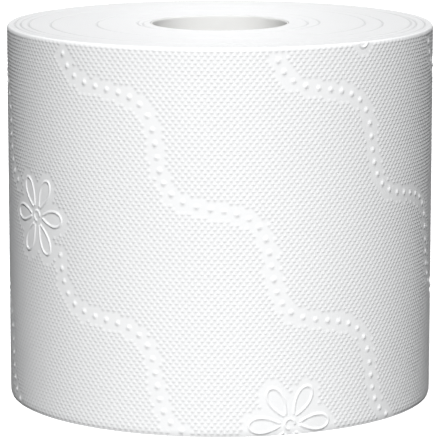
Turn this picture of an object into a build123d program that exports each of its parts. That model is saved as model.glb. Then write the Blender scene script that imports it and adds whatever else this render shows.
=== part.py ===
from build123d import *
import os
from math import cos, hypot, pi, radians, sin, sqrt

# A roll of embossed toilet tissue standing on its end, in millimetres.
# The origin is on the roll's axis, in the plane that it stands on, and +Z is up along the axis.
# Angles round the roll are in degrees from the front, which faces -Y, towards +X.

# Roll and core
roll_height = 100.0
roll_diameter = 114.0
core_bore = 36.0
core_wall = 0.6

# Winding: a few turns on the ends stand for the hundred or so of the real roll
turns = 3
rim_land = 1.6
groove_width = 1.3
groove_depth = 0.8
sheet_thickness = 0.45
tail_angle = 213.5

# Embossed relief: low faceted studs with their feet sunk into the sheet
relief = 0.5
relief_root = 0.1

# Dotted waves, which run down to the right as regular steps
wave_count = 6
wave_angle = 13.5
wave_level = 44.0
wave_fall = 29.8
wave_swing = 5.0
dot_width = 1.65
dot_spacing = 3.5
edge_margin = 0.6
tail_margin = 0.8

# Daisies: angle round the roll, height of the heart, and turn of the first petal
daisies = [(-57.0, 53.0, 0.0), (18.5, 2.8, 0.0), (40.0, 109.5, 30.0)]
daisy_repeats = 2
daisy_margin = 2.0
heart_width = 2.8

# Petals: how far from the heart each part of one lies, and its widths
petal_count = 6
petal_start = 2.6
petal_crest = 4.6
petal_shoulder = 7.8
petal_end = 10.9
petal_width = 4.9
petal_end_width = 1.9

# Derived sizes
roll_radius = roll_diameter / 2
core_radius = core_bore / 2 + core_wall
turn_pitch = (roll_radius - rim_land - core_radius) / turns
wave_run = pi * roll_radius / wave_count
foot_spread = 1 + relief_root / relief
overcut = 2.0


def core_tube():
    """The card tube, cut to the same length as the paper."""
    return extrude(Circle(core_radius) - Circle(core_bore / 2), roll_height)


def winding_section(first_line):
    """Section from the axis to well past the rim, with a groove between each turn and the next."""
    bottom = [(0.0, 0.0)]
    for n in range(turns):
        line = first_line + n * turn_pitch
        bottom += [(line - groove_width / 2, 0.0), (line, groove_depth), (line + groove_width / 2, 0.0)]
    bottom.append((roll_radius + turn_pitch, 0.0))
    top = [(radius, roll_height - rise) for radius, rise in reversed(bottom)]
    return make_face(Plane.XZ * Polyline(*bottom, *top, close=True))


def winding():
    """The spiral of turns as half turns about two centres, so that each half runs smoothly into the next."""
    offset = turn_pitch / 4
    first_half = revolve(winding_section(core_radius + offset), Axis.Z, 180)
    other_half = revolve(winding_section(core_radius + offset + turn_pitch / 2), Axis.Z, 180)
    return Pos(-offset, 0, 0) * first_half + Pos(offset, 0, 0) * Rot(0, 0, 180) * other_half


def outer_sheet():
    """The outermost sheet's form: two half turns, with the step of its tail edge between them."""
    offset = sheet_thickness / 4
    outline = [
        CenterArc((-offset, 0), roll_radius - 3 * offset, 0, 180),
        CenterArc((offset, 0), roll_radius - offset, 180, 180),
        Line((roll_radius - sheet_thickness, 0), (roll_radius, 0)),
    ]
    return Pos(0, 0, -overcut) * extrude(make_face(outline), roll_height + 2 * overcut)


def sheet_radius(angle):
    """Distance of the outermost sheet from the axis at an angle round the roll in radians."""
    offset = sheet_thickness / 4
    past_tail = angle - radians(tail_angle)
    if sin(past_tail) > 0:
        centre, radius = -offset, roll_radius - 3 * offset
    else:
        centre, radius = offset, roll_radius - offset
    return centre * cos(past_tail) + sqrt(radius**2 - (centre * sin(past_tail)) ** 2)


def on_roll(along, height, rise):
    """The point at a distance round the roll from the front, at a height, and so far out from the sheet."""
    angle = along / roll_radius
    radius = sheet_radius(angle) + rise
    return Vector(radius * sin(angle), -radius * cos(angle), height)


def faceted(*faces):
    """A solid whose faces are flat, each given by its corners."""
    return Solid(Shell([Face(Wire.make_polygon(corners)) for corners in faces]))


def pyramid(along, height, width):
    """A square stud with its peak in the middle."""
    half = width / 2 * foot_spread
    a, b, c, d = [
        on_roll(along + x * half, height + z * half, -relief_root)
        for x, z in [(-1, -1), (1, -1), (1, 1), (-1, 1)]
    ]
    peak = on_roll(along, height, relief)
    return faceted([a, b, peak], [b, c, peak], [c, d, peak], [d, a, peak], [a, b, c, d])


def petal(along, height, heading):
    """A stud that widens from the daisy's heart to its shoulder and has a crest along its middle."""
    def corner(out, aside, rise):
        x = out * cos(heading) - aside * sin(heading)
        z = out * sin(heading) + aside * cos(heading)
        return on_roll(along + x, height + z, rise)

    start_out = petal_crest + (petal_start - petal_crest) * foot_spread
    end_out = petal_shoulder + (petal_end - petal_shoulder) * foot_spread
    shoulder_half = petal_width / 2 * foot_spread
    end_half = petal_end_width / 2 * foot_spread
    start = corner(start_out, 0, -relief_root)
    left = corner(petal_shoulder, shoulder_half, -relief_root)
    end_left = corner(end_out, end_half, -relief_root)
    end_right = corner(end_out, -end_half, -relief_root)
    right = corner(petal_shoulder, -shoulder_half, -relief_root)
    near = corner(petal_crest, 0, relief)
    far = corner(petal_shoulder, 0, relief)
    return faceted(
        [start, left, near],
        [left, far, near],
        [left, end_left, far],
        [end_left, end_right, far],
        [end_right, right, far],
        [right, near, far],
        [right, start, near],
        [start, end_left, left],
        [start, end_right, end_left],
        [start, right, end_right],
    )


def daisy(along, height, turn):
    """Petals round a small heart."""
    headings = [turn + n * 2 * pi / petal_count for n in range(petal_count)]
    return [pyramid(along, height, heart_width)] + [petal(along, height, way) for way in headings]


def daisy_places():
    """Every daisy as distance round the roll, height and turn, with the set repeated evenly round it."""
    places = []
    for repeat in range(daisy_repeats):
        for angle, height, turn in daisies:
            whole_angle = angle + repeat * 360 / daisy_repeats
            places.append((radians(whole_angle) * roll_radius, height, radians(turn)))
    return places


def wave_places(start_along):
    """Evenly spaced points down one wave, from above the top end to below the bottom end."""
    slope = hypot(wave_run, wave_fall)
    down = Vector(wave_run, -wave_fall) / slope
    aside = Vector(wave_fall, wave_run) / slope
    places = []
    way = -roll_height
    while way < roll_height:
        phase = 2 * pi * way / slope
        point = Vector(start_along, wave_level) + down * way - aside * wave_swing * sin(phase)
        places.append((point.X, point.Y))
        way += dot_spacing / hypot(1, 2 * pi * wave_swing / slope * cos(phase))
    return places


def round_gap(along, other):
    """The shorter way round the roll between two places."""
    lap = 2 * pi * roll_radius
    return abs((along - other + lap / 2) % lap - lap / 2)


def dot_fits(along, height):
    """Whether a dot stays inside the ends and clear of the daisies and the tail edge."""
    reach = dot_width / 2 * foot_spread
    inside = reach + edge_margin < height < roll_height - reach - edge_margin
    tail_gap = round_gap(along, radians(tail_angle) * roll_radius)
    if not inside or tail_gap < reach + tail_margin:
        return False
    clear = petal_end + daisy_margin
    return all(hypot(round_gap(along, a), height - h) > clear for a, h, turn in daisy_places())


def wave_dots():
    dots = []
    for n in range(wave_count):
        start = radians(wave_angle + n * 360 / wave_count) * roll_radius
        dots += [pyramid(a, h, dot_width) for a, h in wave_places(start) if dot_fits(a, h)]
    return dots


def within_ends(stud):
    """What lies between the roll's ends of a stud."""
    slab = Pos(0, 0, roll_height / 2) * Box(2 * roll_diameter, 2 * roll_diameter, roll_height)
    return (slab & stud).solids()


def wound_paper():
    """All the turns as one solid: the winding inside its outer sheet, the bore for the core, and the relief."""
    roll = winding() & outer_sheet()
    body = Rot(0, 0, tail_angle - 90) * roll - Cylinder(core_radius, 3 * roll_height)
    studs = wave_dots()
    for place in daisy_places():
        for stud in daisy(*place):
            studs += within_ends(stud)
    return body + studs


def main():
    os.makedirs("parts", exist_ok=True)
    export_step(core_tube(), "parts/core_tube.step")
    export_step(wound_paper(), "parts/wound_paper.step")


main()
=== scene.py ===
import bpy
import numpy as np
from math import cos, hypot, pi, radians, sin
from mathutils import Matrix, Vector


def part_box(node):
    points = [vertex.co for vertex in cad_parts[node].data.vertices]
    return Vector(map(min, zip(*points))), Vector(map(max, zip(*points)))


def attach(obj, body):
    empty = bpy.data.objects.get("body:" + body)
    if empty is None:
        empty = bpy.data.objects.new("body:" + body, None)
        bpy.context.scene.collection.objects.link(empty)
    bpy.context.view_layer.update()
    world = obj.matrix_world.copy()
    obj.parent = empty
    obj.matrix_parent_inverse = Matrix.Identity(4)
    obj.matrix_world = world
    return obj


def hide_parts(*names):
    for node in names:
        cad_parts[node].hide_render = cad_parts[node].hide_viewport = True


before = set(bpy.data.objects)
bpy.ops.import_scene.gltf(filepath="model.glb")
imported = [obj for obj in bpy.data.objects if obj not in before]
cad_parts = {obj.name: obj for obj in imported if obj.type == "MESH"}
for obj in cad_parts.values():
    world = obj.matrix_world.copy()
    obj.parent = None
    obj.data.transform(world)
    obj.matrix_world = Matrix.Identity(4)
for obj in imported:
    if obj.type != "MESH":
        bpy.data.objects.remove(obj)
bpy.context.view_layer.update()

# The look of an embossed toilet roll standing on its end, in metres.
# Angles round the roll are from the front, which faces -Y, towards +X.

# Sizes that follow the frame
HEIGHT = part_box("wound_paper")[1].z
CORE_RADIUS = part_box("core_tube")[1].x
CORE_WALL = 0.0006
BORE_RADIUS = CORE_RADIUS - CORE_WALL

# Wound sheet: its radius grows by one thickness in a lap from its tail edge
ROLL_RADIUS = 0.057
SHEET = 0.00045
LAP = 2 * pi * ROLL_RADIUS
LAP_END = LAP * (1 - 1e-9)
TAIL = radians(213.5)
TAIL_ALONG = TAIL * ROLL_RADIUS

# Rims: height and inset of the soft curve at each end
TOP_CURVE, TOP_INSET = 0.0004, 0.0003
BASE_CURVE, BASE_INSET = 0.0018, 0.00022

# Turns on the ends: the frame's marked spiral, which runs over a span given in its turns
MARKED_TURNS = 3
MARKED_SPAN = (-0.02, MARKED_TURNS - 0.5)
RIM_LAND = 0.0016
MARKED_PITCH = (ROLL_RADIUS - RIM_LAND - CORE_RADIUS) / MARKED_TURNS
MARKED_DEPTH = 0.00028
MARKED_HALF = 0.00035

# Fine turns between the marked ones
FINE_PER_MARKED = 18
FINE_TURN_DEPTH = 0.00003

# Looser turns, seen as part arcs on the ends: radius, and the way that the arc's middle faces
LOOSE_TURNS = [(0.0236, 90), (0.0436, 90), (0.0525, 90), (0.0548, 90)]
LOOSE_TURNS += [(0.022, 270), (0.0511, 270), (0.0532, 270), (0.0547, 270)]
LOOSE_HALF_ARC = radians(70)
LOOSE_DEPTH = 0.0003
LOOSE_HALF = 0.00034

# Outer share of an end over which all its turns fade out towards the rim
END_FADE = 1 / 40

# Dotted waves
WAVES = 6
WAVE_START = radians(13.5) * ROLL_RADIUS
WAVE_LEVEL = 0.044
WAVE_RUN = pi * ROLL_RADIUS / WAVES
WAVE_FALL = 0.0298
WAVE_SWING = 0.005
WAVE_REACH = 0.1
DOT_RADIUS = 0.00083
DOT_SPACING = 0.0035
DOT_RISE = 0.00029
DOT_END_MARGIN = 1.6 * DOT_RADIUS
DOT_TAIL_MARGIN = 0.002
DOT_SEARCH = 0.004

# Daisies: angle round the roll, height and turn
DAISIES = [(-57.0, 0.053, 0.0), (18.5, 0.0028, 0.0), (40.0, 0.1095, 30.0)]
DAISY_REPEATS = 2
DAISY_CLEARANCE = 0.01285
HEART_RADIUS = 0.00135
HEART_ARC = (5.0, 255.0)
HEART_POINTS = 18

# Petals: an outline that leaves the heart at a share of its full width
PETALS = 6
PETAL_START = 0.0029
PETAL_BELLY = 0.0079
PETAL_END = 0.0109
PETAL_HALF = 0.00198
PETAL_MOUTH = 0.22
PETAL_SWELL = 0.95
PETAL_SIDE_STEPS = 10
PETAL_TIP_STEPS = 16
STROKE_HALF = 0.00048
STROKE_RISE = 0.00022

# Fine dots: staggered rows all over, left out round the waves and daisies
FINE_PER_ROW = 218
FINE_PITCH = LAP / FINE_PER_ROW
FINE_ROWS = 104
FINE_ROW_STEP = HEIGHT / FINE_ROWS
FINE_RISE = 0.00019
FINE_HALF = 0.00066
FINE_BELOW = 0.00036
FINE_ABOVE = FINE_ROW_STEP - FINE_BELOW
HALO = 0.0017
DAISY_SEARCH = PETAL_END + 3 * HALO

# Farther than any distance that is looked for on the roll
FAR = 1.0

# Mesh grid of the sheet: its lines run through the middle, flank and foot of every fine dot
ROWS = 3 * FINE_ROWS
COLUMNS = 6 * FINE_PER_ROW
SECTORS = 6
REFINED_MARGIN = 0.0002

# Mesh grids of the ends, as columns and rows, and of the tail edge
TOP_GRID = (181, 200)
BASE_GRID = (91, 160)
TAIL_LEVELS = 201
TAIL_STEPS = 5

# Card tube: rounded lips, and a helical seam over a share of each turn
LIP = 0.0002
LIP_EASE = 0.00003
WALL_MARGIN = 0.0006
WALL_LEVELS = 50
TUBE_COLUMNS = 121
SEAM_PITCH = 0.062
SEAM_RISE = 0.00012
SEAM_SHARE = 1 / 14

# Paper and card
SHEEN = 0.03
DRIFT_SCALE = 45
DRIFT_DETAIL = 4
DRIFT_RANGE = (0.3, 0.7)
FIBRE_DETAIL = 3

# Floor and surroundings: their shades for light and for the eye
FLOOR_REACH = 4.0
FLOOR_IN_LIGHT = (0.1, 0.1, 0.1, 1)
FLOOR_SEEN = (0.92, 0.92, 0.92, 1)
FLOOR_GLOW = 0.35
WHITE = (1, 1, 1, 1)
AMBIENT_COLOUR = (0.82, 0.92, 1.0, 1)
AMBIENT_STRENGTH = 0.03

# The photo's view
CAMERA_DISTANCE = 0.855
CAMERA_PITCH = radians(10.0)
CAMERA_AIM = Vector((0.00011, 0.0, 0.0464))
CAMERA_LENS = 258.7
CAMERA_SENSOR = 36


def smooth_bump(distance, reach):
    """A soft dome: 1 in the middle, 0 from its reach on."""
    return np.clip(1 - (distance / reach) ** 2, 0, 1) ** 1.5


def lap_gap(a, b):
    """The signed shorter way round the roll from b to a."""
    return (a - b + LAP / 2) % LAP - LAP / 2


def polyline_distance(s, z, points):
    """Distance of each place from a line through points."""
    best = np.full(s.shape, FAR)
    for (s0, z0), (s1, z1) in zip(points, points[1:]):
        ds, dz = s1 - s0, z1 - z0
        t = np.clip(((s - s0) * ds + (z - z0) * dz) / (ds * ds + dz * dz), 0, 1)
        best = np.minimum(best, np.hypot(s - s0 - t * ds, z - z0 - t * dz))
    return best


def petal_line():
    """One petal's outline, along and across it, from its open base round its tip and back."""
    tip_length = PETAL_END - PETAL_BELLY
    tip = []
    for n in range(PETAL_TIP_STEPS + 1):
        turn = radians(-90 + n * 180 / PETAL_TIP_STEPS)
        tip.append((PETAL_BELLY + tip_length * cos(turn), PETAL_HALF * sin(turn)))
    side = []
    for n in range(PETAL_SIDE_STEPS):
        t = n / PETAL_SIDE_STEPS
        along = PETAL_START + (PETAL_BELLY - PETAL_START) * t
        width = PETAL_MOUTH + (1 - PETAL_MOUTH) * sin(t * pi / 2) ** PETAL_SWELL
        side.append((along, PETAL_HALF * width))
    return [(u, -v) for u, v in side] + tip + side[::-1]


def daisy_lines(turn):
    """The outlines of a daisy about its heart."""
    lines = []
    for n in range(PETALS):
        c, s = cos(turn + n * 2 * pi / PETALS), sin(turn + n * 2 * pi / PETALS)
        lines.append([(u * c - v * s, u * s + v * c) for u, v in petal_line()])
    arc = np.radians(np.linspace(*HEART_ARC, HEART_POINTS))
    lines.append([(HEART_RADIUS * cos(a), HEART_RADIUS * sin(a)) for a in arc])
    return lines


def daisy_places():
    """Every daisy as distance round the roll, height and turn."""
    places = []
    for repeat in range(DAISY_REPEATS):
        for angle, height, turn in DAISIES:
            along = radians(angle + repeat * 360 / DAISY_REPEATS) * ROLL_RADIUS
            places.append((along, height, radians(turn)))
    return places


def daisy_distance(s, z):
    """Distance of each place from the nearest outline of a daisy."""
    best = np.full(s.shape, FAR)
    for along, height, turn in daisy_places():
        ds, dz = lap_gap(s, along), z - height
        near = np.hypot(ds, dz) < DAISY_SEARCH
        if near.any():
            for line in daisy_lines(turn):
                best[near] = np.minimum(best[near], polyline_distance(ds[near], dz[near], line))
    return best


def dot_fits(s, z):
    """Whether a wave's dot stays inside the ends and clear of the daisies and the tail edge."""
    inside = DOT_END_MARGIN < z < HEIGHT - DOT_END_MARGIN
    off_tail = abs(lap_gap(s, TAIL_ALONG)) > DOT_TAIL_MARGIN
    gaps = [hypot(lap_gap(s, along), z - height) for along, height, turn in daisy_places()]
    return inside and off_tail and min(gaps) > DAISY_CLEARANCE


def wave_dots():
    """Centres of the waves' dots."""
    slope = hypot(WAVE_RUN, WAVE_FALL)
    dots = []
    for n in range(WAVES):
        way = -WAVE_REACH
        while way < WAVE_REACH:
            phase = 2 * pi * way / slope
            swing = WAVE_SWING * sin(phase)
            s = WAVE_START + n * LAP / WAVES + (WAVE_RUN * way - WAVE_FALL * swing) / slope
            z = WAVE_LEVEL + (-WAVE_FALL * way - WAVE_RUN * swing) / slope
            if dot_fits(s, z):
                dots.append((s, z))
            way += DOT_SPACING / hypot(1, 2 * pi * WAVE_SWING / slope * cos(phase))
    return np.array(dots)


def dot_distance(s, z, dots):
    """Distance of each place from the nearest wave dot, if one is near."""
    best = np.full(s.shape, FAR)
    for ds, dz in dots:
        near = (np.abs(lap_gap(s, ds)) < DOT_SEARCH) & (np.abs(z - dz) < DOT_SEARCH)
        gap = np.hypot(lap_gap(s[near], ds), z[near] - dz)
        best[near] = np.minimum(best[near], gap)
    return best


def fine_mask(dots):
    """Which fine dots are there, by row from the one below the base and by place from the tail."""
    row_numbers = np.arange(-1, FINE_ROWS + 2)
    rows, places = np.meshgrid(row_numbers, np.arange(FINE_PER_ROW), indexing="ij")
    s = TAIL_ALONG + (places + (rows % 2) / 2) * FINE_PITCH
    z = rows * FINE_ROW_STEP
    clear_edges = (rows > 0) & (rows < FINE_ROWS) & (s > TAIL_ALONG)
    clear_dots = dot_distance(s, z, dots) > DOT_RADIUS + HALO
    clear_daisies = daisy_distance(s, z) > STROKE_HALF + HALO
    inside_petal = np.zeros(s.shape, bool)
    for along, height, turn in daisy_places():
        ds, dz = lap_gap(s, along), z - height
        for n in range(PETALS):
            way = turn + n * 2 * pi / PETALS
            u = ds * cos(way) + dz * sin(way)
            v = -ds * sin(way) + dz * cos(way)
            inside_petal |= (u > 0) & (u < PETAL_END) & (np.abs(v) < PETAL_HALF)
    return clear_edges & clear_dots & clear_daisies & ~inside_petal


def fine_relief(s, z, mask):
    """Rise of the fine dots, which are steeper below than above."""
    rise = np.zeros(s.shape)
    from_tail = s - TAIL_ALONG
    for odd in (0, 1):
        place = np.round(from_tail / FINE_PITCH - odd / 2).astype(int)
        row = np.round((z / FINE_ROW_STEP - odd) / 2).astype(int) * 2 + odd
        across = (from_tail - (place + odd / 2) * FINE_PITCH) / FINE_HALF
        up = z - row * FINE_ROW_STEP
        up = up / np.where(up > 0, FINE_ABOVE, FINE_BELOW)
        there = mask[np.clip(row + 1, 0, mask.shape[0] - 1), place % FINE_PER_ROW]
        rise = np.maximum(rise, FINE_RISE * smooth_bump(np.hypot(across, up), 1.0) * there)
    return rise


def add_object(name, data):
    """A new object in the scene."""
    thing = bpy.data.objects.new(name, data)
    bpy.context.scene.collection.objects.link(thing)
    return thing


def new_mesh(name, points, faces):
    """A smooth-shaded object from points and quads, each by the numbers of its points."""
    points = points.reshape(-1, 3)
    mesh = bpy.data.meshes.new(name)
    mesh.vertices.add(len(points))
    mesh.vertices.foreach_set("co", points.astype(np.float32).ravel())
    mesh.loops.add(faces.size)
    mesh.loops.foreach_set("vertex_index", faces.astype(np.int32).ravel())
    mesh.polygons.add(len(faces))
    mesh.polygons.foreach_set("loop_start", np.arange(0, faces.size, 4, dtype=np.int32))
    mesh.update(calc_edges=True)
    mesh.polygons.foreach_set("use_smooth", np.ones(len(faces), bool))
    mesh.validate()
    return add_object(name, mesh)


def finish_piece(piece, material, node):
    """Give a piece its material and its place in the frame."""
    piece.data.materials.append(material)
    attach(piece, "root")
    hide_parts(node)


def quads_at(i, j, step, width):
    """Quads of a grid from their first corners, facing along columns crossed with rows."""
    first = i * width + j
    above = first + step * width
    return np.stack([first, first + step, above + step, above], axis=1)


def grid_faces(rows, columns):
    """All the quads of a grid of points."""
    i, j = np.meshgrid(np.arange(rows - 1), np.arange(columns - 1), indexing="ij")
    return quads_at(i.ravel(), j.ravel(), 1, columns)


def round_axis(radius, angle, z):
    """Points at distances from the roll's axis, at angles round it and at heights."""
    x, y = radius * np.sin(angle), -radius * np.cos(angle)
    return np.stack(np.broadcast_arrays(x, y, z), axis=-1)


def sheet_base_radius(s):
    """Radius of the outer sheet's ground, which grows by one thickness in a lap from the tail."""
    return ROLL_RADIUS - SHEET * (1 - ((s - TAIL_ALONG) % LAP) / LAP)


def sheet_point(s, z, rise):
    """Place on the roll, with a soft curve at each rim."""
    inset = BASE_INSET * np.clip(1 - z / BASE_CURVE, 0, 1) ** 2
    inset += TOP_INSET * np.clip(1 - (HEIGHT - z) / TOP_CURVE, 0, 1) ** 2
    return round_axis(sheet_base_radius(s) + rise - inset, s / ROLL_RADIUS, z)


def sheet_grid():
    """Points of the sheet's grid, whose upright lines lean to and fro with the staggered dots."""
    apart = FINE_PITCH / 2
    after_dot = [0, FINE_HALF / 2, FINE_HALF]
    before_dot = [0, apart - FINE_HALF, apart - FINE_HALF / 2]
    starts = np.repeat(np.arange(2 * FINE_PER_ROW) * apart, len(after_dot))
    lines = []
    for odd in (0, 1):
        parts = []
        for n in range(2 * FINE_PER_ROW):
            parts += before_dot if (n + odd) % 2 else after_dot
        lines.append(np.append(starts + parts, LAP_END) + TAIL_ALONG)
    s, z = [lines[0]], [0.0]
    for row in range(1, FINE_ROWS + 1):
        for below in (FINE_BELOW, FINE_BELOW / 2, 0):
            s.append(lines[row % 2])
            z.append(row * FINE_ROW_STEP - below)
    return np.array(s), np.array(z)[:, None] + np.zeros(COLUMNS + 1)


def with_middles(grid):
    """A grid of values with the middles between its lines both ways."""
    fine = np.zeros((2 * grid.shape[0] - 1, 2 * grid.shape[1] - 1))
    fine[::2, ::2] = grid
    fine[1::2, ::2] = (grid[:-1] + grid[1:]) / 2
    fine[:, 1::2] = (fine[:, :-1:2] + fine[:, 2::2]) / 2
    return fine


def sector_faces(close, columns):
    """Quads of a sector over every other grid line, or over every line where a corner is close."""
    i, j = np.meshgrid(2 * np.arange(ROWS), 2 * np.arange(columns), indexing="ij")
    fine = np.zeros(i.shape, bool)
    for di in range(3):
        for dj in range(3):
            fine |= close[i + di, j + dj]
    width = 2 * columns + 1
    parts = [quads_at(i[~fine], j[~fine], 2, width)]
    for di in (0, 1):
        for dj in (0, 1):
            parts.append(quads_at(i[fine] + di, j[fine] + dj, 1, width))
    return np.concatenate(parts)


def outer_sheet(material):
    """The outermost sheet in upright sectors, with a finer mesh along the daisies' outlines."""
    dots = wave_dots()
    mask = fine_mask(dots)
    grid_s, grid_z = sheet_grid()
    columns = COLUMNS // SECTORS
    for n in range(SECTORS):
        part = slice(n * columns, (n + 1) * columns + 1)
        s, z = with_middles(grid_s[:, part]), with_middles(grid_z[:, part])
        to_daisy = daisy_distance(s, z)
        dot_rise = DOT_RISE * smooth_bump(dot_distance(s, z, dots), DOT_RADIUS)
        line_rise = STROKE_RISE * smooth_bump(to_daisy, STROKE_HALF)
        rise = np.maximum(np.maximum(dot_rise, line_rise), fine_relief(s, z, mask))
        points = sheet_point(s, z, rise).reshape(-1, 3)
        faces = sector_faces(to_daisy < STROKE_HALF + REFINED_MARGIN, columns)
        used, faces = np.unique(faces, return_inverse=True)
        piece = new_mesh(f"outer_sheet_{n + 1}", points[used], faces.reshape(-1, 4))
        finish_piece(piece, material, "wound_paper")


def turn_line(radius, angle):
    """How far along the winding a place on an end lies, in marked turns."""
    lap_share = ((angle - TAIL) / (2 * pi)) % 1
    return (radius - CORE_RADIUS) / MARKED_PITCH - lap_share


def end_relief(radius, angle):
    """Drop of the sheets' edges from the end plane."""
    turns = turn_line(radius, angle)
    to_line = np.abs((turns + 0.5) % 1 - 0.5) * MARKED_PITCH
    wound = (turns > MARKED_SPAN[0]) & (turns < MARKED_SPAN[1])
    groove = MARKED_DEPTH * smooth_bump(to_line, MARKED_HALF) * wound
    fine = FINE_TURN_DEPTH * (0.5 - 0.5 * np.cos(2 * pi * turns * FINE_PER_MARKED))
    for loose_radius, facing in LOOSE_TURNS:
        aside = (angle - radians(facing) + pi) % (2 * pi) - pi
        depth = LOOSE_DEPTH * smooth_bump(aside, LOOSE_HALF_ARC)
        groove = np.maximum(groove, depth * smooth_bump(radius - loose_radius, LOOSE_HALF))
    return groove + fine


def paper_end(name, material, top):
    """One end of the winding, from the core to the rim's soft curve."""
    columns, rows = TOP_GRID if top else BASE_GRID
    inset = TOP_INSET if top else BASE_INSET
    angle = TAIL + np.linspace(0, 2 * pi, columns)
    share = np.linspace(0, 1, rows)[:, None]
    outer = sheet_base_radius(TAIL_ALONG + np.linspace(0, LAP_END, columns)) - inset
    radius = CORE_RADIUS + share * (outer - CORE_RADIUS)
    drop = end_relief(radius, angle) * np.clip((1 - share) / END_FADE, 0, 1)
    points = round_axis(radius, angle, HEIGHT - drop if top else drop)
    faces = grid_faces(rows, columns)
    if top:
        faces = faces[:, ::-1]
    piece = new_mesh(name, points, faces)
    finish_piece(piece, material, "wound_paper")


def tail_edge(material):
    """The step at the end of the outermost sheet."""
    levels = np.linspace(BASE_CURVE, HEIGHT - TOP_CURVE, TAIL_LEVELS)
    radii = ROLL_RADIUS - SHEET * np.linspace(0, 1, TAIL_STEPS)
    points = round_axis(radii, TAIL, levels[:, None])
    piece = new_mesh("tail_edge", points, grid_faces(TAIL_LEVELS, TAIL_STEPS))
    finish_piece(piece, material, "wound_paper")


def core_lining(material):
    """The card tube: a rounded lip at each end and a helical seam inside."""
    edge = [(CORE_WALL, LIP), (CORE_WALL - LIP / 2, LIP_EASE), (CORE_WALL / 2, 0.0)]
    edge += [(LIP / 2, LIP_EASE), (0.0, LIP)]
    profile = list(edge)
    profile += [(0.0, z) for z in np.linspace(WALL_MARGIN, HEIGHT - WALL_MARGIN, WALL_LEVELS)]
    profile += [(step, HEIGHT - z) for step, z in reversed(edge)]
    profile.append(edge[0])
    step, z = np.array(profile).T[:, :, None]
    angle = np.linspace(0, 2 * pi, TUBE_COLUMNS)
    seam = (angle / (2 * pi) + z / SEAM_PITCH) % 1
    lap = SEAM_RISE * np.clip(1 - seam / SEAM_SHARE, 0, 1) * (step == 0)
    points = round_axis(BORE_RADIUS + step + lap, angle, z)
    piece = new_mesh("core_lining", points, grid_faces(len(profile), TUBE_COLUMNS)[:, ::-1])
    finish_piece(piece, material, "core_tube")


def new_material(name, colour, roughness, grain, grain_size, shade):
    """A matt fibrous material: a fine grain in its height, and a slight drift in its shade."""
    material = bpy.data.materials.new(name)
    material.use_nodes = True
    nodes, links = material.node_tree.nodes, material.node_tree.links
    shader = nodes["Principled BSDF"]
    shader.inputs["Roughness"].default_value = roughness
    shader.inputs["Specular IOR Level"].default_value = SHEEN
    place = nodes.new("ShaderNodeTexCoord")
    drift = nodes.new("ShaderNodeTexNoise")
    drift.inputs["Scale"].default_value = DRIFT_SCALE
    drift.inputs["Detail"].default_value = DRIFT_DETAIL
    ramp = nodes.new("ShaderNodeValToRGB")
    dark, light = ramp.color_ramp.elements
    dark.position, light.position = DRIFT_RANGE
    dark.color = (*[c * shade for c in colour], 1)
    light.color = (*colour, 1)
    fibres = nodes.new("ShaderNodeTexNoise")
    fibres.inputs["Scale"].default_value = 1 / grain_size
    fibres.inputs["Detail"].default_value = FIBRE_DETAIL
    bump = nodes.new("ShaderNodeBump")
    bump.inputs["Distance"].default_value = grain
    bump.inputs["Strength"].default_value = 1.0
    links.new(place.outputs["Object"], drift.inputs["Vector"])
    links.new(place.outputs["Object"], fibres.inputs["Vector"])
    links.new(drift.outputs["Fac"], ramp.inputs["Fac"])
    links.new(ramp.outputs["Color"], shader.inputs["Base Color"])
    links.new(fibres.outputs["Fac"], bump.inputs["Height"])
    links.new(bump.outputs["Normal"], shader.inputs["Normal"])
    return material


def add_math(nodes, operation):
    """A maths node."""
    node = nodes.new("ShaderNodeMath")
    node.operation = operation
    return node


def paint_groove_shade(material, depth, share):
    """Paint shade into a material's colour: darker towards a share of itself over a depth below
    the roll's ends, in the grooves between the turns.
    """
    nodes, links = material.node_tree.nodes, material.node_tree.links
    base = nodes["Principled BSDF"].inputs["Base Color"]
    paint = base.links[0].from_socket
    place = nodes.new("ShaderNodeTexCoord")
    split = nodes.new("ShaderNodeSeparateXYZ")
    from_middle = add_math(nodes, "SUBTRACT")
    from_middle.inputs[1].default_value = HEIGHT / 2
    distance = add_math(nodes, "ABSOLUTE")
    reach = nodes.new("ShaderNodeMapRange")
    reach.inputs["From Min"].default_value = HEIGHT / 2 - depth
    reach.inputs["From Max"].default_value = HEIGHT / 2
    reach.inputs["To Min"].default_value = share
    darker = nodes.new("ShaderNodeVectorMath")
    darker.operation = "SCALE"
    links.new(place.outputs["Object"], split.inputs["Vector"])
    links.new(split.outputs["Z"], from_middle.inputs[0])
    links.new(from_middle.outputs["Value"], distance.inputs[0])
    links.new(distance.outputs["Value"], reach.inputs["Value"])
    links.new(paint, darker.inputs[0])
    links.new(reach.outputs["Result"], darker.inputs["Scale"])
    links.new(darker.outputs["Vector"], base)


def add_sun(name, facing, height, spread, energy):
    """A distant lamp: the way round that it stands, its height and its spread in degrees."""
    sun = bpy.data.lights.new(name, "SUN")
    sun.energy = energy
    sun.angle = radians(spread)
    facing, height = radians(facing), radians(height)
    across = cos(height)
    toward = Vector((across * sin(facing), -across * cos(facing), sin(height)))
    add_object(name, sun).rotation_euler = (-toward).to_track_quat("-Z", "Y").to_euler()


def add_strip(name, height, size, energy):
    """A lamp over the roll that points straight down."""
    strip = bpy.data.lights.new(name, "AREA")
    strip.shape = "RECTANGLE"
    strip.size, strip.size_y = size
    strip.energy = energy
    holder = add_object(name, strip)
    holder.location = (0, 0, height)
    holder.visible_camera = False


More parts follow.
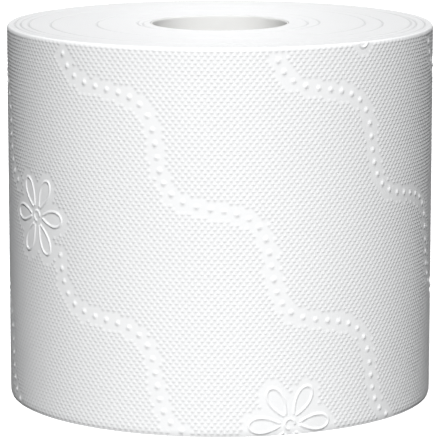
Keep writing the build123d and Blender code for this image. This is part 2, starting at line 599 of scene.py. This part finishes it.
def seen_directly(nodes, links):
    """1 for what is seen directly, in gloss or through glass, and 0 for light on the object."""
    path = nodes.new("ShaderNodeLightPath")
    either = add_math(nodes, "MAXIMUM")
    links.new(path.outputs["Is Camera Ray"], either.inputs[0])
    links.new(path.outputs["Is Glossy Ray"], either.inputs[1])
    seen = add_math(nodes, "MAXIMUM")
    links.new(either.outputs["Value"], seen.inputs[0])
    links.new(path.outputs["Is Transmission Ray"], seen.inputs[1])
    return seen.outputs["Value"]


def add_floor():
    """A pale floor, which sends little light back up."""
    mesh = bpy.data.meshes.new("floor")
    signs = [(-1, -1), (1, -1), (1, 1), (-1, 1)]
    corners = [(x * FLOOR_REACH, y * FLOOR_REACH, 0) for x, y in signs]
    mesh.from_pydata(corners, [], [(0, 1, 2, 3)])
    floor = add_object("floor", mesh)
    material = bpy.data.materials.new("floor_paint")
    material.use_nodes = True
    nodes, links = material.node_tree.nodes, material.node_tree.links
    shader = nodes["Principled BSDF"]
    shader.inputs["Roughness"].default_value = 0.9
    shader.inputs["Specular IOR Level"].default_value = 0.0
    shader.inputs["Emission Color"].default_value = WHITE
    seen = seen_directly(nodes, links)
    tone = nodes.new("ShaderNodeMix")
    tone.data_type = "RGBA"
    tone.inputs["A"].default_value = FLOOR_IN_LIGHT
    tone.inputs["B"].default_value = FLOOR_SEEN
    glow = add_math(nodes, "MULTIPLY")
    glow.inputs[1].default_value = FLOOR_GLOW
    links.new(seen, tone.inputs["Factor"])
    links.new(seen, glow.inputs[0])
    links.new(tone.outputs["Result"], shader.inputs["Base Color"])
    links.new(glow.outputs["Value"], shader.inputs["Emission Strength"])
    mesh.materials.append(material)


def add_surroundings():
    """A weak cool light from all round, seen as white."""
    world = bpy.data.worlds.new("studio")
    bpy.context.scene.world = world
    world.use_nodes = True
    nodes, links = world.node_tree.nodes, world.node_tree.links
    ambient = nodes["Background"]
    ambient.inputs["Color"].default_value = AMBIENT_COLOUR
    ambient.inputs["Strength"].default_value = AMBIENT_STRENGTH
    white = nodes.new("ShaderNodeBackground")
    white.inputs["Color"].default_value = WHITE
    mix = nodes.new("ShaderNodeMixShader")
    links.new(seen_directly(nodes, links), mix.inputs["Fac"])
    links.new(ambient.outputs["Background"], mix.inputs[1])
    links.new(white.outputs["Background"], mix.inputs[2])
    links.new(mix.outputs["Shader"], nodes["World Output"].inputs["Surface"])


def add_studio():
    """Soft light from the front, weaker light from behind, and a strip over the roll."""
    add_floor()
    add_surroundings()
    add_sun("key", facing=-0.5, height=42.5, spread=8, energy=4.57)
    add_sun("back_left", facing=198, height=12, spread=20, energy=0.75)
    add_sun("back_right", facing=162, height=12, spread=20, energy=1.4)
    add_strip("overhead", height=0.145, size=(0.012, 0.14), energy=0.0145)


def add_camera():
    """The camera where the photo was taken from."""
    camera = add_object("camera", bpy.data.cameras.new("camera"))
    away = Vector((0, -cos(CAMERA_PITCH), sin(CAMERA_PITCH)))
    camera.location = CAMERA_AIM + CAMERA_DISTANCE * away
    camera.rotation_euler = (-away).to_track_quat("-Z", "Y").to_euler()
    camera.data.sensor_fit = "HORIZONTAL"
    camera.data.sensor_width = CAMERA_SENSOR
    camera.data.lens = CAMERA_LENS
    bpy.context.scene.camera = camera


tissue = new_material(
    "tissue", colour=(0.86, 0.865, 0.87), roughness=0.95,
    grain=0.000012, grain_size=0.00035, shade=0.985,
)
cut_edges = new_material(
    "tissue_cut_edges", colour=(0.66, 0.662, 0.667), roughness=0.95,
    grain=0.00002, grain_size=0.0003, shade=0.985,
)
# Painted shade: the ends' colour darkens to 0.8 of itself in the grooves between the turns.
paint_groove_shade(cut_edges, depth=0.0003, share=0.8)
card = new_material(
    "core_card", colour=(0.66, 0.66, 0.65), roughness=0.9,
    grain=0.00002, grain_size=0.0006, shade=0.93,
)
outer_sheet(tissue)
tail_edge(tissue)
paper_end("end_top", cut_edges, top=True)
paper_end("end_base", cut_edges, top=False)
core_lining(card)
add_studio()
add_camera()
bpy.context.scene.view_settings.view_transform = "Standard"
